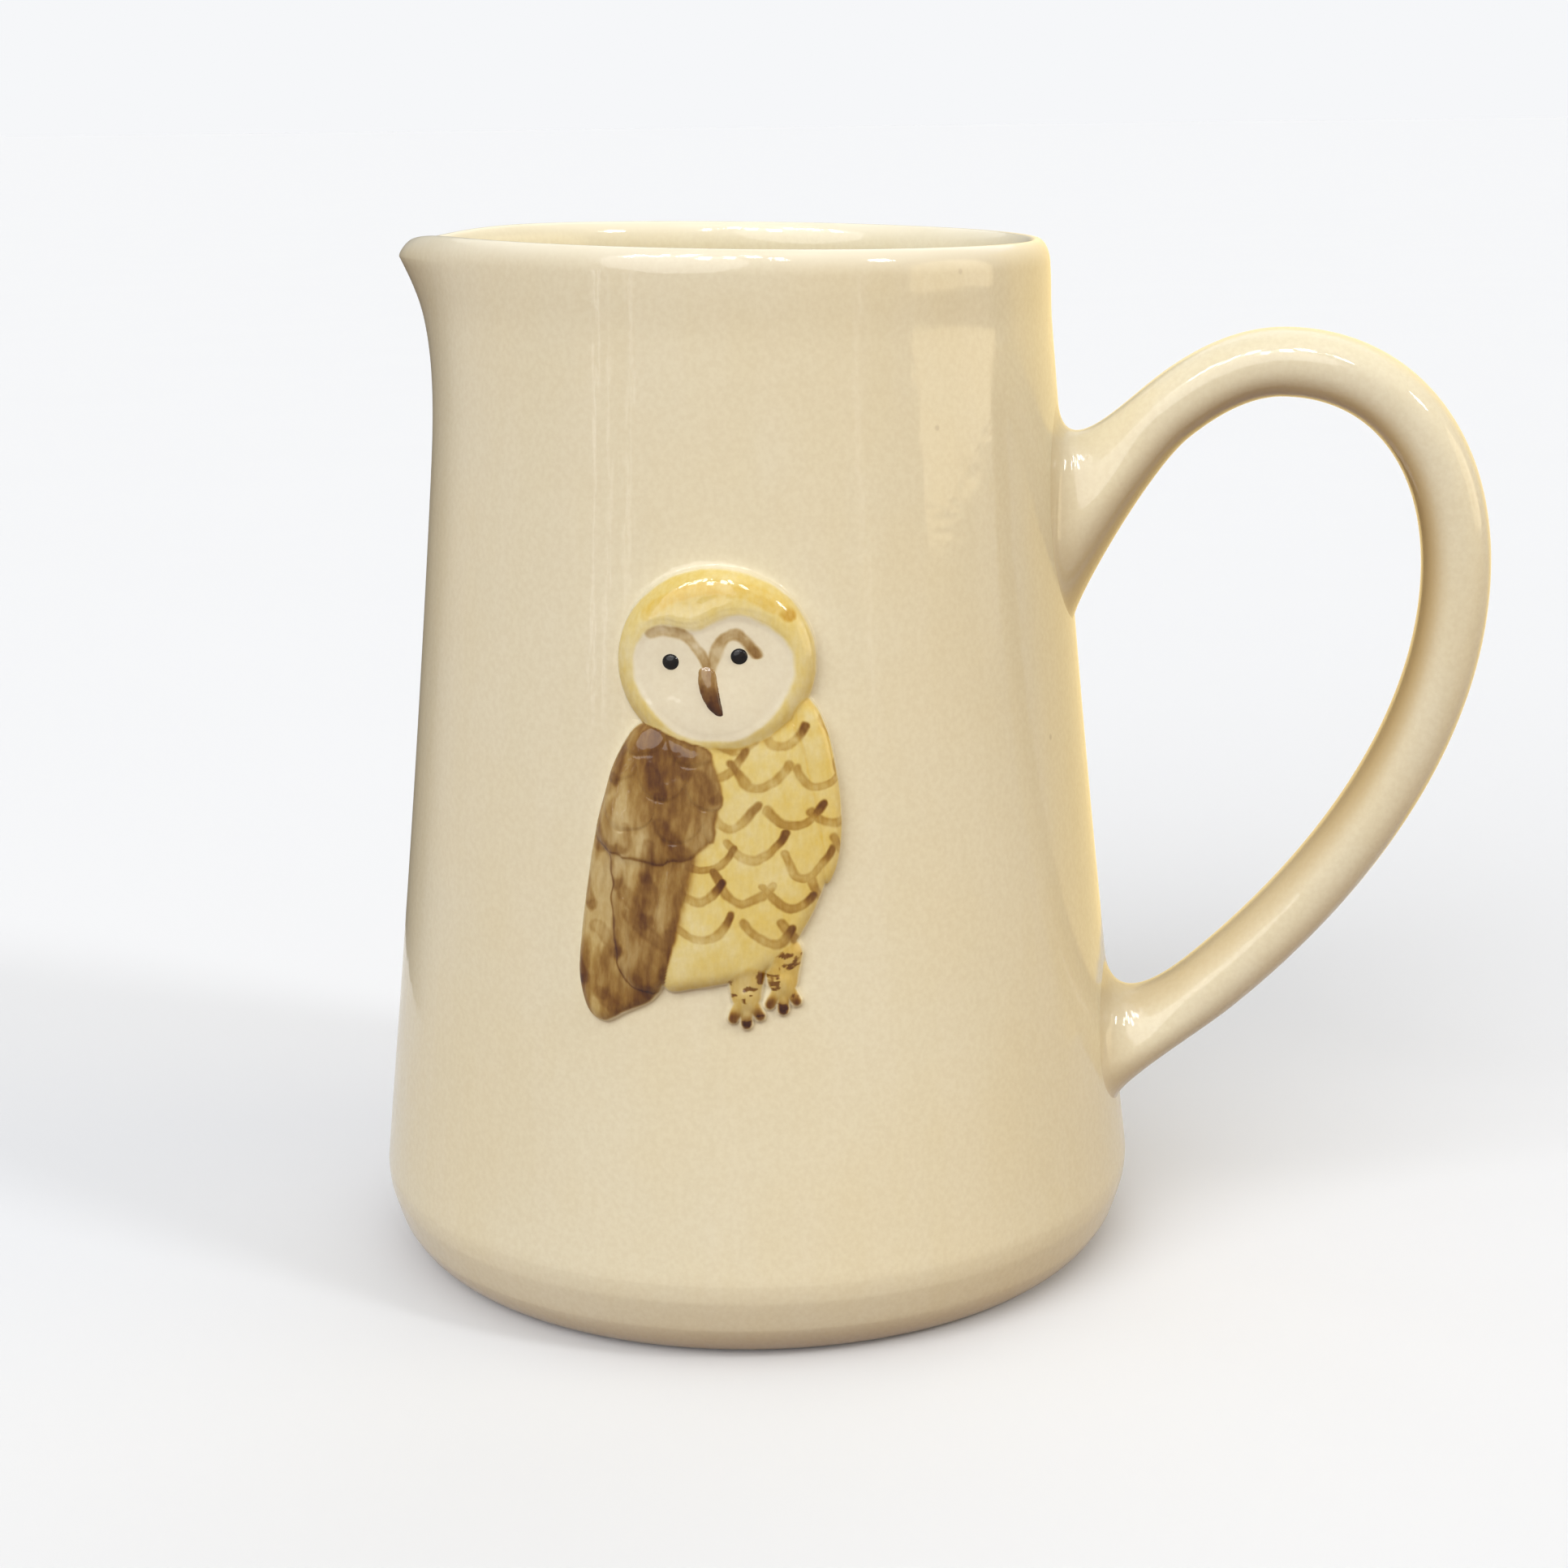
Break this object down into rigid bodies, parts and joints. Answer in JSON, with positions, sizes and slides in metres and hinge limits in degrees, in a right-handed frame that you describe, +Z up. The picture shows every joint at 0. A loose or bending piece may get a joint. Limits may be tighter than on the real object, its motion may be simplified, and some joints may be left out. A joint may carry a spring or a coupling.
{
  "type": "jug",
  "caption": "Cream glazed pottery jug with a tapering body, a pulled spout, a strap handle and a perched owl in painted low relief.",
  "frame": {"origin": "centre of the flat foot, on the axis of the round body", "axes": "+Z up along the body's axis, +X towards the handle, the spout at -X, the owl on the -Y side"},
  "size_m": [0.1414, 0.0984, 0.1307],
  "materials": {
    "cream": "gloss",
    "gold": "gloss",
    "straw": "gloss",
    "umber": "gloss",
    "white": "gloss",
    "sienna": "gloss",
    "black": "gloss"
  },
  "bodies": {
    "root": {"vessel": "cream", "handle": "cream", "upper_handle_slip": "cream", "lower_handle_slip": "cream", "owl_head_ruff": "gold", "owl_face_disc": "white", "owl_left_eye": "black", "owl_right_eye": "black", "owl_beak": "sienna", "owl_breast": "straw", "owl_wing_coverts": "umber", "owl_wing_primaries": "umber", "owl_far_wing": "gold", "owl_tail": "umber", "owl_left_foot": "gold", "owl_right_foot": "gold"}
  },
  "joints": []
}
